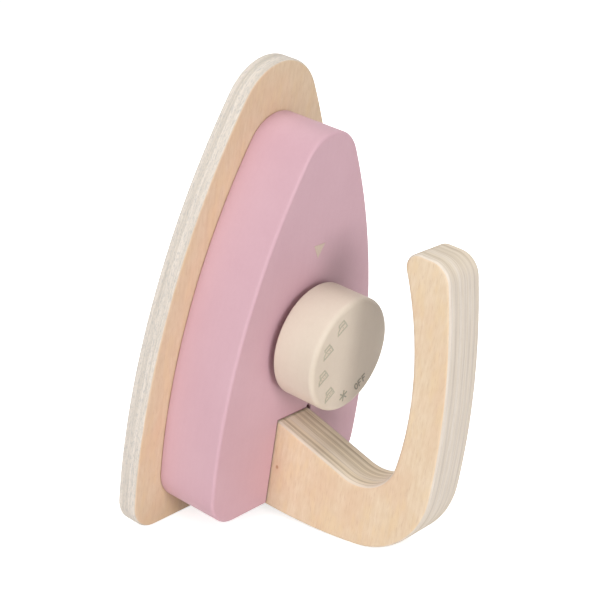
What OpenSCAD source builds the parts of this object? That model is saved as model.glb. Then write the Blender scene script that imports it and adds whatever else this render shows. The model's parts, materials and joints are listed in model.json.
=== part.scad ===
// Toy iron: a plywood sole plate, a painted body block with a turning dial, and a plywood hook handle.
// Every piece is drawn as it lies on its sole: X across, Y from the heel to the nose, Z up from the sole.
// standing() then sets the iron on its heel, nose up, leaning on the bend of its handle.
// The finished model has +Z up, +X towards the handle, and its origin on the floor under the middle.

/* [Sole plate] */
// Length from heel to nose
plate_l = 168; // [150:1:190]
// Width at the widest place
plate_w = 106; // [98:1:116]
// Thickness
plate_t = 8; // [7:0.5:10]
// Distance of the widest place from the heel
plate_widest = 27; // [22:1:34]
// Radius of the nose
plate_nose_r = 21.5; // [16:0.5:26]
// Radius of the heel corners
plate_heel_r = 12.5; // [9:0.5:18]
// Radius of the rounded edges
plate_edge_r = 1.2; // [0.6:0.1:2]

/* [Body block] */
// Length from heel to nose
body_l = 141.2; // [130:0.2:150]
// Width at the widest place
body_w = 82; // [76:1:90]
// Thickness
body_t = 25; // [22:0.5:30]
// Step from the plate's heel to the block's heel
body_step = 8.8; // [6:0.2:12]
// Distance of the widest place from the block's heel
body_widest = 26; // [20:1:34]
// Radius of the nose
body_nose_r = 15.5; // [10:0.5:20]
// Radius of the heel corners
body_heel_r = 13.5; // [8:0.5:15]
// Radius of the rounded upper edge
body_top_r = 1.1; // [0.6:0.1:4]
// Radius of the softened lower edge
body_base_r = 0.7; // [0.3:0.1:1.5]

/* [Handle] */
// Thickness of the plywood
handle_t = 18; // [15:0.5:22]
// Step from the plate's heel to the handle's heel side
handle_step = 8.2; // [6:0.2:12]
// Width of the root where it leaves the block
root_w = 34.6; // [30:0.2:38]
// Slope of the root's finger side towards the heel, in degrees
root_slope = 15; // [10:1:20]
// Radius of the finger side's bend
finger_bend_r = 16; // [13:0.5:19]
// Radius of the finger side of the grip
grip_hollow_r = 125; // [105:5:160]
// Height of the grip's finger side above the sole
grip_under_h = 85; // [80:1:90]
// Height of the grip's back above the sole
grip_back_h = 99.5; // [95:0.5:106]
// Radius of the grip's back
grip_back_r = 280; // [220:10:340]
// Radius of the back's bend
back_bend_r = 32; // [28:1:34]
// Radius of the sweep of the heel side
heel_sweep_r = 206; // [180:2:240]
// Height above the sole where the heel side starts to sweep
sweep_start_h = 37; // [34:0.5:40]
// Distance of the grip's highest place from the plate's heel, on the back
grip_back_y = 52.5; // [48:0.5:57]
// Distance of the grip's highest place from the plate's heel, on the finger side
grip_under_y = 66.5; // [62:0.5:70]
// Distance of the grip's free end from the plate's heel
tip_y = 124; // [116:1:132]
// Radius of the free end's upper corner
tip_back_r = 8.5; // [6:0.5:10]
// Radius of the free end's lower corner
tip_under_r = 5; // [3:0.5:6]
// Radius of the rounded edges
handle_edge_r = 1.3; // [0.6:0.1:2]
// Radius between the root's straight front and its slope
root_ease_r = 4; // [3:0.5:10]

/* [Dial] */
// Diameter of the knob
knob_d = 42; // [34:1:46]
// Height of the knob
knob_h = 17.4; // [13:0.2:18]
// Distance of the knob's centre from the plate's heel
knob_y = 74.5; // [72:0.5:80]
// Radius of the knob's rounded rim
knob_rim_r = 1.9; // [1:0.1:3]
// Width of the chamfer under the knob
knob_chamfer = 0.6; // [0.3:0.1:1]
// Thickness of the felt ring under the knob
ring_t = 2.2; // [1.6:0.1:4]
// Diameter of the felt ring
ring_d = 26; // [20:1:30]
// Diameter of the wooden spindle
spindle_d = 8; // [6:0.5:10]
// Depth of the spindle in the knob
spindle_depth = 11; // [8:0.5:12]
// Diameter of the recess under the block
recess_d = 24; // [20:1:28]
// Depth of the recess under the block
recess_h = 7; // [6:0.5:9]
// Diameter of the retaining washer
washer_d = 19; // [15:1:19]
// Thickness of the retaining washer
washer_t = 1.2; // [0.8:0.1:1.6]

/* [Prints] */
// Thickness of the printed ink
ink_t = 0.12; // [0.08:0.02:0.2]
// Width of a printed line
ink_w = 0.5; // [0.4:0.05:0.6]
// Radius of the ring of marks on the knob
marks_r = 15.4; // [12:0.2:15.6]
// Angle between neighbouring marks, in degrees
marks_pitch = 36.5; // [34:0.5:40]
// Angle of the first mark from the nose, in degrees
marks_start = 32; // [0:1:60]
// Width of an iron sign
icon_w = 5.2; // [4.4:0.1:6.8]
// Height of an iron sign
icon_h = 3.5; // [3.2:0.1:4.6]
// Width of the snowflake
flake_w = 4.4; // [3:0.1:5]
// Height of a letter
letter_h = 3; // [2.4:0.1:3.4]
// Width of a letter
letter_w = 1.9; // [1.5:0.1:2]
// Width of the pointer
pointer_w = 6; // [4:0.5:8]
// Length of the pointer
pointer_l = 5; // [4:0.5:8]
// Gap between the pointer's tip and the knob
pointer_gap = 8.6; // [4:0.2:10]

/* [Fasteners] */
// Diameter of the wood screws
screw_d = 3.5; // [3:0.1:4]
// Diameter of the screw heads
head_d = 7; // [6:0.2:8]
// Height of the countersunk heads
head_h = 1.9; // [1.5:0.1:2.2]
// Length of the sole screws
sole_screw_l = 20; // [14:1:22]
// Length of the handle screws
handle_screw_l = 24; // [16:1:28]
// Length of the spindle screw
spindle_screw_l = 16; // [12:1:20]
// Height of the spindle screw's round head
round_head_h = 2.4; // [2:0.1:3]
// Diameter of the wooden plugs in the sole
plug_d = 10; // [9:0.5:11]
// Thickness of the wooden plugs
plug_t = 2.6; // [2:0.1:3]
// Diameter of the dowels
dowel_d = 6; // [5:0.5:8]
// Length of the two dowels between plate and block
plate_dowel_l = 14; // [10:1:16]
// Length of the dowel between block and handle
handle_dowel_l = 20; // [16:1:24]
// Distance of the rear sole screws from the plate's heel
rear_screw_y = 24; // [20:1:30]
// Distance of the rear sole screws from the middle
rear_screw_x = 27; // [23:1:30]
// Distance of the front sole screws from the plate's heel
front_screw_y = 112; // [104:1:116]
// Distance of the front sole screws from the middle
front_screw_x = 15; // [11:1:17]
// Distance of the plate dowels from the plate's heel
plate_dowel_y = 56; // [52:1:60]
// Distance of the plate dowels from the middle
plate_dowel_x = 25; // [22:1:28]
// Distance of the first handle screw from the plate's heel
near_handle_screw_y = 15; // [14:0.5:16]
// Distance of the second handle screw from the plate's heel
far_handle_screw_y = 27; // [26:0.5:28]

/* [Clearances] */
// Gap on each side of the handle's root in its slot
slot_side_gap = 0.3; // [0.1:0.05:0.5]
// Gap between the handle's root and the end of its slot
slot_end_gap = 0.5; // [0.2:0.1:0.8]
// Radius of the small hole at the end of the slot
start_hole_r = 0.9; // [0.6:0.1:1.2]
// Distance of the small hole from the slot's far side
start_hole_inset = 1.4; // [1.3:0.1:4.4]
// Running gap round the spindle
spindle_gap = 0.06; // [0.03:0.01:0.1]
// Gap between what turns and what stays, along the spindle
turn_gap = 0.25; // [0.15:0.05:0.4]
// Gap round the spindle in the felt ring
loose_gap = 0.3; // [0.2:0.05:0.5]

/* [Hidden] */
$fn = 64;

plywood = [0.87, 0.75, 0.62];
pink = [0.85, 0.68, 0.71];
cream = [0.86, 0.79, 0.70];
ink = [0.62, 0.61, 0.52];

// Overrun of every cut past the face that it opens
cut = 1;
// Steps in a rounded edge, in each arc of an outline and in the knob's rim
edge_steps = 4;
corner_steps = 8;
side_steps = 16;
nose_steps = 16;
rim_steps = 6;
// Steps in each arc of the handle's finger side and of its outer side
finger_steps = [4, 3, 12, 12, 8];
outer_steps = [8, 10, 12, 6, 4];

// Heights above the sole
block_top = plate_t + body_t;
recess_top = plate_t + recess_h;
knob_base = block_top + ring_t + turn_gap;
knob_top = knob_base + knob_h;
spindle_base = recess_top - turn_gap;
spindle_top = knob_base + spindle_depth;
spindle_l = spindle_top - spindle_base;
plate_dowel_base = plate_t / 2;
handle_dowel_z = plate_t + body_t / 2;

// Distances from the plate's heel
root_end_y = handle_step + root_w;
slot_end_y = root_end_y + slot_end_gap;
pointer_y = knob_y + knob_d / 2 + pointer_gap;

// Places of the widest place, the nose and the heel corners in an outline: distance and two radii
plate_shape = [plate_widest, plate_nose_r, plate_heel_r];
body_shape = [body_widest, body_nose_r, body_heel_r];

screw_r = screw_d / 2;
head_r = head_d / 2;
slot_w = handle_t + 2 * slot_side_gap;
root_corner_r = 2 * handle_edge_r;
drive_w = screw_d / 4;

// Points of an arc. first is 0 with its starting point and 1 without it.
function arc(centre, r, from, to, steps, first = 1) =
    [for (i = [first:steps]) let (a = from + (to - from) * i / steps) centre + r * [cos(a), sin(a)]];
function angle(v) = atan2(v.y, v.x);
// The meeting point of two circles that lies to the left of the way from the first to the second
function circles_meet(c1, r1, c2, r2) =
    let (d = norm(c2 - c1), e = (c2 - c1) / d, a = (r1 * r1 - r2 * r2 + d * d) / (2 * d))
    c1 + a * e + sqrt(r1 * r1 - a * a) * [-e.y, e.x];

// Outline of a plate like an iron's sole: a straight heel, two round corners, two long arcs and a nose.
// inset moves the outline inwards all round.
function iron_outline(l, w, widest, nose_r, heel_r, inset) =
    let (
        rise = l - nose_r - widest,
        side_r = (w * w / 4 + rise * rise - nose_r * nose_r) / (w - 2 * nose_r),
        side_x = w / 2 - side_r,
        heel_x = side_x + sqrt(pow(side_r - heel_r, 2) - pow(widest - heel_r, 2)),
        low = angle([heel_x - side_x, heel_r - widest]),
        high = angle([-side_x, rise])
    )
    concat(
        arc([heel_x, heel_r], heel_r - inset, -90, low, corner_steps, 0),
        arc([side_x, widest], side_r - inset, low, high, side_steps),
        arc([0, l - nose_r], nose_r - inset, high, 180 - high, nose_steps),
        arc([-side_x, widest], side_r - inset, 180 - high, 180 - low, side_steps),
        arc([-heel_x, heel_r], heel_r - inset, 180 - low, 270, corner_steps)
    );

// Insets and heights of the rings of a slab with a rounded lower and upper edge
function edge_rings(t, low_r, high_r) =
    concat(
        [for (i = [0:edge_steps]) let (a = 90 * i / edge_steps) low_r * [1 - sin(a), 1 - cos(a)]],
        [for (i = [0:edge_steps]) let (a = 90 * i / edge_steps) [0, t] + high_r * [1 - cos(a), sin(a) - 1]]
    );

// Quads between neighbouring rings of n points each
function ring_faces(n, rings) =
    [for (k = [0:rings - 2], i = [0:n - 1])
        [k * n + i, (k + 1) * n + i, (k + 1) * n + (i + 1) % n, k * n + (i + 1) % n]];

// A slab with the outline iron_outline(l, w, shape[0], shape[1], shape[2]) and rounded edges
module iron_slab(l, w, t, shape, low_r, high_r) {
    rings = edge_rings(t, low_r, high_r);
    outlines = [for (ring = rings) iron_outline(l, w, shape[0], shape[1], shape[2], ring[0])];
    n = len(outlines[0]);
    points = [for (k = [0:len(rings) - 1], p = outlines[k]) [p.x, p.y, rings[k][1]]];
    caps = [[for (i = [0:n - 1]) i], [for (i = [n - 1:-1:0]) (len(rings) - 1) * n + i]];
    polyhedron(points, concat(caps, ring_faces(n, len(rings))));
}

// Centres of the handle's arcs, as [distance from the plate's heel, height above the sole]
slope_n = [cos(root_slope), sin(root_slope)];
slope_d = [-slope_n.y, slope_n.x];
root_front_c = [root_end_y - root_corner_r, plate_t + root_corner_r];
root_heel_c = [handle_step + root_corner_r, plate_t + root_corner_r];
ease_c = [root_end_y - root_ease_r, block_top];
sweep_c = [handle_step + heel_sweep_r, sweep_start_h];
back_c = [grip_back_y, grip_back_h - grip_back_r];
hollow_c = [grip_under_y, grip_under_h - grip_hollow_r];
back_bend_c = circles_meet(back_c, grip_back_r - back_bend_r, sweep_c, heel_sweep_r - back_bend_r);
tip_back_c = above(back_c, grip_back_r - tip_back_r, tip_y - tip_back_r);
tip_under_c = above(hollow_c, grip_hollow_r + tip_under_r, tip_y - tip_under_r);
finger_bend_c = line_meets_circle(ease_c + (root_ease_r + finger_bend_r) * slope_n, slope_d,
    hollow_c, grip_hollow_r - finger_bend_r);

// Directions in which the arcs run into one another
sweep_end = angle(back_bend_c - sweep_c);
back_start = angle(tip_back_c - back_c);
back_end = angle(back_bend_c - back_c);
hollow_start = angle(finger_bend_c - hollow_c);
hollow_end = angle(tip_under_c - hollow_c);

// The point at y on the upper half of a circle
function above(centre, r, y) = [y, centre.y + sqrt(r * r - pow(y - centre.x, 2))];
// The far point where the line from p in direction d meets a circle
function line_meets_circle(p, d, centre, r) =
    let (w = p - centre, along = w * d)
    p + d * (sqrt(along * along - w * w + r * r) - along);

// The handle's finger side, from the root to the free end
function finger_side(inset) =
    concat(
        arc(root_front_c, root_corner_r - inset, 270, 360, finger_steps[0], 0),
        arc(ease_c, root_ease_r - inset, 0, root_slope, finger_steps[1], 0),
        arc(finger_bend_c, finger_bend_r + inset, 180 + root_slope, hollow_start, finger_steps[2], 0),
        arc(hollow_c, grip_hollow_r + inset, hollow_start, hollow_end, finger_steps[3]),
        arc(tip_under_c, tip_under_r - inset, hollow_end + 180, 360, finger_steps[4])
    );

// The handle's outer side, from the free end back to the root, with as many points as the finger side
function outer_side(inset) =
    concat(
        arc(tip_back_c, tip_back_r - inset, 0, back_start, outer_steps[0], 0),
        arc(back_c, grip_back_r - inset, back_start, back_end, outer_steps[1]),
        arc(back_bend_c, back_bend_r - inset, back_end, sweep_end, outer_steps[2]),
        arc(sweep_c, heel_sweep_r - inset, sweep_end, 180, outer_steps[3]),
        arc(root_heel_c, root_corner_r - inset, 180, 270, outer_steps[4], 0)
    );

module handle_blank() {
    rings = edge_rings(handle_t, handle_edge_r, handle_edge_r);
    m = len(finger_side(0));
    n = 2 * m;
    top = (len(rings) - 1) * n;
    points = [
        for (ring = rings, p = concat(finger_side(ring[0]), outer_side(ring[0])))
            [ring[1] - handle_t / 2, p.x, p.y]
    ];
    low_cap = [for (i = [0:m - 2]) [i, i + 1, n - 2 - i, n - 1 - i]];
    high_cap = [for (i = [0:m - 2]) [top + n - 1 - i, top + n - 2 - i, top + i + 1, top + i]];
    polyhedron(points, concat(low_cap, high_cap, ring_faces(n, len(rings))));
}

// The floor touches the rounded heel edge under the block and the handle's sweep or bend.
heel_edge_c = [plate_edge_r, plate_t - plate_edge_r];
function lean_on(centre, r) =
    let (d = centre - heel_edge_c)
    acos((r - plate_edge_r) / norm(d)) - angle(d);
sweep_lean = lean_on(sweep_c, heel_sweep_r);
lean = 180 - sweep_lean >= sweep_end ? sweep_lean : lean_on(back_bend_c, back_bend_r);
// Height above the floor, and distance forward, of a point given as [distance from the heel, height]
function lifted(p) = p.x * cos(lean) - p.y * sin(lean);
function forward(p) = p.y * cos(lean) + p.x * sin(lean);
floor_h = lifted(heel_edge_c) - plate_edge_r;
rear_x = forward([plate_edge_r, plate_edge_r]) - plate_edge_r;
front_x = forward(back_c) + grip_back_r;
middle_x = (rear_x + front_x) / 2;

module standing() {
    translate([-middle_x, 0, -floor_h]) rotate([0, lean, 0]) rotate([90, 0, 90]) children();
}

module at_each(places) {
    for (place = places) translate(place) children();
}

// Places in the sole of the screws, plugs and dowels
rear_screws = [[-rear_screw_x, rear_screw_y], [rear_screw_x, rear_screw_y]];
front_screws = [[-front_screw_x, front_screw_y], [front_screw_x, front_screw_y]];
handle_screw_places = [[0, near_handle_screw_y], [0, far_handle_screw_y]];
sole_screw_places = concat(rear_screws, front_screws);
plug_places = concat(sole_screw_places, handle_screw_places);
plate_dowel_places = [[-plate_dowel_x, plate_dowel_y], [plate_dowel_x, plate_dowel_y]];

// A countersunk wood screw that starts at the plug: its head, its shank and the cross in its head
module countersunk_screw(l) {
    translate([0, 0, plug_t]) difference() {
        union() {
            cylinder(h = head_h, r1 = head_r, r2 = screw_r);
            translate([0, 0, head_h]) cylinder(h = l - head_h, r = screw_r);
        }
        cross_slot(head_h);
    }
}

// The cross cut into a screw's head, open downwards
module cross_slot(depth) {
    for (turn = [0, 90])
        rotate([0, 0, turn]) translate([-head_r / 2, -drive_w / 2, -cut])
            cube([head_r, drive_w, depth / 2 + cut]);
}

module sole_plate() {
    color(plywood) standing() difference() {
        iron_slab(plate_l, plate_w, plate_t, plate_shape, plate_edge_r, plate_edge_r);
        at_each(plug_places) {
            translate([0, 0, -cut]) cylinder(h = plug_t + cut, r = plug_d / 2);
            translate([0, 0, plug_t]) cylinder(h = head_h, r1 = head_r, r2 = screw_r);
            cylinder(h = plate_t + cut, r = screw_r);
        }
        at_each(plate_dowel_places)
            translate([0, 0, plate_dowel_base]) cylinder(h = plate_t, r = dowel_d / 2);
    }
}

module body_block() {
    color(pink) standing() difference() {
        translate([0, body_step, plate_t])
            iron_slab(body_l, body_w, body_t, body_shape, body_base_r, body_top_r);
        translate([-slot_w / 2, 0, plate_t - cut]) cube([slot_w, slot_end_y, body_t + 2 * cut]);
        translate([slot_w / 2 - start_hole_inset, slot_end_y + 0.6 * start_hole_r, plate_t - cut])
            cylinder(h = body_t + 2 * cut, r = start_hole_r);
        translate([0, knob_y, plate_t - cut]) cylinder(h = recess_h + cut, r = recess_d / 2);
        translate([0, knob_y, plate_t]) cylinder(h = body_t + cut, r = spindle_d / 2 + spindle_gap);
        at_each(sole_screw_places) cylinder(h = plug_t + sole_screw_l, r = screw_r);
        at_each(plate_dowel_places)
            translate([0, 0, plate_dowel_base]) cylinder(h = plate_dowel_l, r = dowel_d / 2);
        handle_dowel_hole();
    }
}

module handle_dowel_hole() {
    translate([0, root_end_y - handle_dowel_l / 2, handle_dowel_z])
        rotate([-90, 0, 0]) cylinder(h = handle_dowel_l, r = dowel_d / 2);
}

module handle() {
    color(plywood) standing() difference() {
        handle_blank();
        at_each(handle_screw_places) cylinder(h = plug_t + handle_screw_l, r = screw_r);
        handle_dowel_hole();
    }
}

module handle_dowel() {
    color(plywood) standing() handle_dowel_hole();
}

module plate_dowels() {
    color(plywood) standing() at_each(plate_dowel_places)
        translate([0, 0, plate_dowel_base]) cylinder(h = plate_dowel_l, r = dowel_d / 2);
}

module sole_screws() {
    color("silver") standing() at_each(sole_screw_places) countersunk_screw(sole_screw_l);
}

module handle_screws() {
    color("silver") standing() at_each(handle_screw_places) countersunk_screw(handle_screw_l);
}

module sole_plugs() {
    color(plywood) standing() at_each(plug_places) cylinder(h = plug_t, r = plug_d / 2);
}

module felt_ring() {
    color("dimgray") standing() translate([0, knob_y, block_top]) difference() {
        cylinder(h = ring_t, r = ring_d / 2);
        translate([0, 0, -cut]) cylinder(h = ring_t + 2 * cut, r = spindle_d / 2 + loose_gap);
    }
}

// Half section of the knob, as [distance from its axis, height above its base]
function knob_section() =
    concat(
        [[0, 0], [knob_d / 2 - knob_chamfer, 0], [knob_d / 2, knob_chamfer]],
        arc([knob_d / 2 - knob_rim_r, knob_h - knob_rim_r], knob_rim_r, 0, 90, rim_steps, 0),
        [[0, knob_h]]
    );

module knob() {
    color(cream) standing() translate([0, knob_y, knob_base]) difference() {
        rotate_extrude($fn = 128) polygon(knob_section());
        translate([0, 0, -cut]) cylinder(h = spindle_depth + cut, r = spindle_d / 2);
    }
}

module spindle() {
    color(plywood) standing() translate([0, knob_y, spindle_base]) difference() {
        cylinder(h = spindle_l, r = spindle_d / 2);
        translate([0, 0, -cut]) cylinder(h = spindle_screw_l + cut, r = screw_r);
    }
}

module retaining_washer() {
    color("silver") standing() translate([0, knob_y, spindle_base - washer_t]) difference() {
        cylinder(h = washer_t, r = washer_d / 2);
        translate([0, 0, -cut]) cylinder(h = washer_t + 2 * cut, r = screw_r);
    }
}

module spindle_screw() {
    color("silver") standing() translate([0, knob_y, spindle_base - washer_t - round_head_h]) difference() {
        union() {
            cylinder(h = round_head_h, r1 = head_r - head_h / 2, r2 = head_r);
            translate([0, 0, round_head_h]) cylinder(h = washer_t + spindle_screw_l, r = screw_r);
        }
        cross_slot(round_head_h);
    }
}

// A printed line between two points
module ink_line(a, b) {
    translate(a) rotate([0, 0, angle(b - a)]) translate([-ink_w / 2, -ink_w / 2])
        cube([norm(b - a) + ink_w, ink_w, ink_t]);
}

module ink_path(points) {
    for (i = [0:len(points) - 2]) ink_line(points[i], points[i + 1]);
}

// Carries a mark to its place on the knob. All marks stand upright when the first one is at the pointer.
module on_dial(place) {
    turn = place * marks_pitch;
    standing() translate([0, knob_y, knob_top]) rotate([0, 0, marks_start + turn])
        translate([0, marks_r, 0]) rotate([0, 0, -turn]) children();
}

// Corners of an iron sign as shares of its width and height, then the ends of its handle
iron_sign_shares = [[-0.5, -0.5], [0.5, -0.5], [0.44, 0.1], [-0.12, 0.1], [-0.4, -0.16], [-0.5, -0.5]];
iron_grip_shares = [[0.42, 0.1], [0.36, 0.5], [-0.16, 0.5], [-0.2, 0.3]];
// Places of the dots in each iron sign
iron_dot_shares = [
    [[0.12, -0.2]],
    [[-0.02, -0.2], [0.24, -0.2]],
    [[-0.14, -0.22], [0.08, -0.2], [0.3, -0.2]],
    [[-0.14, -0.22], [0.02, -0.2], [0.18, -0.2], [0.34, -0.2]]
];

module iron_mark(dots) {
    size = [icon_w, icon_h];
    scaled = function(shares) [for (s = shares) [s.x * size.x, s.y * size.y]];
    color(ink) on_dial(dots) {
        ink_path(scaled(iron_sign_shares));
        ink_path(scaled(iron_grip_shares));
        at_each(scaled(iron_dot_shares[dots])) cylinder(h = ink_t, r = ink_w / 2);
    }
}

module mark_snowflake() {
    color(ink) on_dial(4) for (turn = [0, 60, 120])
        rotate([0, 0, turn]) translate([-flake_w / 2, -ink_w / 2]) cube([flake_w, ink_w, ink_t]);
}

// The letters of the off mark, side by side
letter_step = letter_w + ink_w;

module letter_o() {
    difference() {
        scale([letter_w / letter_h, 1, 1]) cylinder(h = ink_t, r = letter_h / 2);
        translate([0, 0, -cut]) scale([(letter_w - 2 * ink_w) / (letter_h - 2 * ink_w), 1, 1])
            cylinder(h = ink_t + 2 * cut, r = letter_h / 2 - ink_w);
    }
}

module letter_f() {
    rise = letter_h / 2 - ink_w / 2;
    ink_path([[-letter_w / 2, -rise], [-letter_w / 2, rise], [letter_w / 2 - ink_w, rise]]);
    ink_line([-letter_w / 2, 0], [letter_w / 2 - 2 * ink_w, 0]);
}

module mark_off() {
    color(ink) on_dial(5) {
        translate([-letter_step, 0]) letter_o();
        letter_f();
        translate([letter_step, 0]) letter_f();
    }
}

module pointer_mark() {
    color(cream) standing() translate([0, pointer_y, block_top]) linear_extrude(ink_t)
        polygon([[0, 0], [pointer_w / 2, pointer_l], [-pointer_w / 2, pointer_l]]);
}

sole_plate();
body_block();
handle();
handle_dowel();
plate_dowels();
sole_screws();
handle_screws();
sole_plugs();
pointer_mark();
felt_ring();
knob();
spindle();
retaining_washer();
spindle_screw();
iron_mark(0);  // mark_iron_1
iron_mark(1);  // mark_iron_2
iron_mark(2);  // mark_iron_3
iron_mark(3);  // mark_iron_4
mark_snowflake();
mark_off();
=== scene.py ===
"""Looks of a wooden toy iron: plywood sole and hook handle, painted block and dial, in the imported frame."""

import json
import logging
import math
from dataclasses import dataclass
from enum import Enum
from typing import Any, Callable, Optional, Union

import bpy
from mathutils import Matrix, Vector

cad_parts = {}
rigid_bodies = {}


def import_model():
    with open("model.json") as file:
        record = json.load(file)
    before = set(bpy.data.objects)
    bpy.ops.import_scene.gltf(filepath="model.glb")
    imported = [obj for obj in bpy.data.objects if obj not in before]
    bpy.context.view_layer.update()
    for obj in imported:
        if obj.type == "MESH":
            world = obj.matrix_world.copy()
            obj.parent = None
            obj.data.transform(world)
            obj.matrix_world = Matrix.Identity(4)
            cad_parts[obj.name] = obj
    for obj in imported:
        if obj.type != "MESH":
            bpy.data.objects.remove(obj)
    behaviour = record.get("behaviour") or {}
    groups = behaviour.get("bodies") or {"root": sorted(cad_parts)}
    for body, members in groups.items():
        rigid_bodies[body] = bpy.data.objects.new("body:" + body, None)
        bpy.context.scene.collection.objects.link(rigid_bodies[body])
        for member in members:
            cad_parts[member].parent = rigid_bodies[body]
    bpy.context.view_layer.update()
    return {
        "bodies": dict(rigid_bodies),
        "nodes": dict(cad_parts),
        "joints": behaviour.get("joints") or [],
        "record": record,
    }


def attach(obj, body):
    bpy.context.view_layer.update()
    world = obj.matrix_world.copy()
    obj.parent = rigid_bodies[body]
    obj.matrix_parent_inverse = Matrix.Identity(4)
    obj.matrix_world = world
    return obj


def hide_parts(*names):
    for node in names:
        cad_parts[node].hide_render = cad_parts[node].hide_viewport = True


LOG = logging.getLogger("toy_iron")
MM = 0.001
# Edges that bend by more than this angle, in degrees, look sharp
CRISP_ANGLE = 32
# Points of a grown mesh that lie closer than this, in mm, become one
WELD = 0.002
# Points of an outline that lie closer than this, in mm, are the same
SAME_SPOT = 1e-4
# Sides of plugs and their holes, of the dial's bore, and of the saw's starting hole
PLUG_SIDES = 48
BORE_SIDES = 64
START_SIDES = 32
WHITE = (1.0, 1.0, 1.0, 1.0)
Number = Union[float, "Value"]
Place = tuple["Value", "Value", "Value"]
Spot = tuple[float, float]
Rim = list[tuple[Spot, Spot]]
Colour = tuple[float, float, float]


# Node trees


def two_sided(operation: str, reflected: bool = False) -> Callable[["Value", Number], "Value"]:
    """Makes the method of an operator with two sides.

    Args:
        operation: The Math node's operation.
        reflected: True where the value stands on the right.

    Returns:
        A method that adds the Math node.
    """

    def method(self: "Value", other: Number) -> "Value":
        """The operator's result."""
        pair = (other, self) if reflected else (self, other)
        return self.tree.maths(operation, *pair)

    return method


@dataclass(frozen=True)
class Value:
    """An output socket of a node tree, for use in Python expressions.

    A comparison gives 1 where it holds and 0 elsewhere, and a modulo is never negative.
    """

    tree: "Tree"
    socket: bpy.types.NodeSocket

    __add__ = two_sided("ADD")
    __radd__ = two_sided("ADD", reflected=True)
    __sub__ = two_sided("SUBTRACT")
    __rsub__ = two_sided("SUBTRACT", reflected=True)
    __mul__ = two_sided("MULTIPLY")
    __rmul__ = two_sided("MULTIPLY", reflected=True)
    __truediv__ = two_sided("DIVIDE")
    __mod__ = two_sided("FLOORED_MODULO")
    __pow__ = two_sided("POWER")
    __gt__ = two_sided("GREATER_THAN")
    __lt__ = two_sided("LESS_THAN")
    smaller = two_sided("MINIMUM")
    larger = two_sided("MAXIMUM")

    def __abs__(self) -> "Value":
        """The size of self without its sign."""
        return self.tree.maths("ABSOLUTE", self)

    def floor(self) -> "Value":
        """The whole number at or below self."""
        return self.tree.maths("FLOOR", self)

    def clamped(self) -> "Value":
        """Self, held between 0 and 1."""
        return self.larger(0.0).smaller(1.0)

    def smooth(self, low: float, high: float) -> "Value":
        """A smooth step from 0 at low to 1 at high."""
        values = {"Value": self, "From Min": low, "From Max": high}
        return self.tree.add("ShaderNodeMapRange", {"interpolation_type": "SMOOTHSTEP"}, values)

    def also(self, name: str) -> "Value":
        """Another output of the same node."""
        return Value(self.tree, Tree.socket(self.socket.node.outputs, name))


class Tree:
    """A node tree that is filled through add() and expressions on values."""

    def __init__(self, nodes: bpy.types.NodeTree) -> None:
        """Wraps an existing node tree."""
        self.nodes = nodes

    @staticmethod
    def socket(sockets: Any, key: Union[str, int]) -> bpy.types.NodeSocket:
        """Finds a socket by its identifier, its name or its place among the sockets in use.

        Args:
            sockets: A node's inputs or outputs.
            key: Its identifier, its name or its place.

        Returns:
            The first socket in use that fits.
        """
        used = [s for s in sockets if s.enabled]
        if isinstance(key, int):
            return used[key]
        return ([s for s in used if s.identifier == key] + [s for s in used if s.name == key])[0]

    def add(
        self, kind: str, settings: Optional[dict] = None, values: Optional[dict] = None, output: Any = 0
    ) -> Value:
        """Adds a node of any type.

        Args:
            kind: The node's type.
            settings: Properties that are set first, such as a Math node's operation.
            values: Numbers or links for its sockets; a list links several values to one socket.
            output: The output that the result stands for.

        Returns:
            The chosen output.
        """
        node = self.nodes.nodes.new(kind)
        for name, setting in (settings or {}).items():
            setattr(node, name, setting)
        for key, value in (values or {}).items():
            socket = self.socket(node.inputs, key)
            for one in value if isinstance(value, list) else [value]:
                if isinstance(one, Value):
                    self.nodes.links.new(one.socket, socket)
                else:
                    socket.default_value = one
        return Value(self, self.socket(node.outputs, output)) if node.outputs else Value(self, None)

    def maths(self, operation: str, *values: Number) -> Value:
        """A Math node."""
        return self.add("ShaderNodeMath", {"operation": operation}, dict(enumerate(values)))

    def vector(self, operation: str, *values: Any, output: Any = 0) -> Value:
        """A Vector Math node."""
        return self.add("ShaderNodeVectorMath", {"operation": operation}, dict(enumerate(values)), output)

    def combine(self, x: Number, y: Number, z: Number) -> Value:
        """A vector of three numbers."""
        return self.add("ShaderNodeCombineXYZ", None, {"X": x, "Y": y, "Z": z})

    def parts(self, vector: Value) -> Place:
        """The three numbers of a vector."""
        first = self.add("ShaderNodeSeparateXYZ", None, {"Vector": vector})
        return first, first.also("Y"), first.also("Z")

    def noise(self, place: Value, scale: float, detail: float) -> Value:
        """Smooth noise between 0 and 1."""
        return self.add("ShaderNodeTexNoise", None, {"Vector": place, "Scale": scale, "Detail": detail})

    def blend(self, factor: Number, low: Any, high: Any) -> Value:
        """A Mix node for colours: low where factor is 0 and high where it is 1.

        Args:
            factor: The share of the second colour, from 0 to 1.
            low: The first colour, as a tuple or a value.
            high: The second colour, as a tuple or a value.

        Returns:
            The mixed colour.
        """
        colours = {
            key: (*value, 1.0) if isinstance(value, tuple) else value
            for key, value in (("A_Color", low), ("B_Color", high))
        }
        values = {"Factor_Float": factor, **colours}
        return self.add("ShaderNodeMix", {"data_type": "RGBA"}, values, "Result_Color")


def emptied_tree(owner: Union[bpy.types.Material, bpy.types.World]) -> Tree:
    """The node tree of a material or a world, without the nodes it comes with.

    Args:
        owner: The material or the world.

    Returns:
        Its tree.
    """
    owner.use_nodes = True
    owner.node_tree.nodes.clear()
    return Tree(owner.node_tree)


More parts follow.
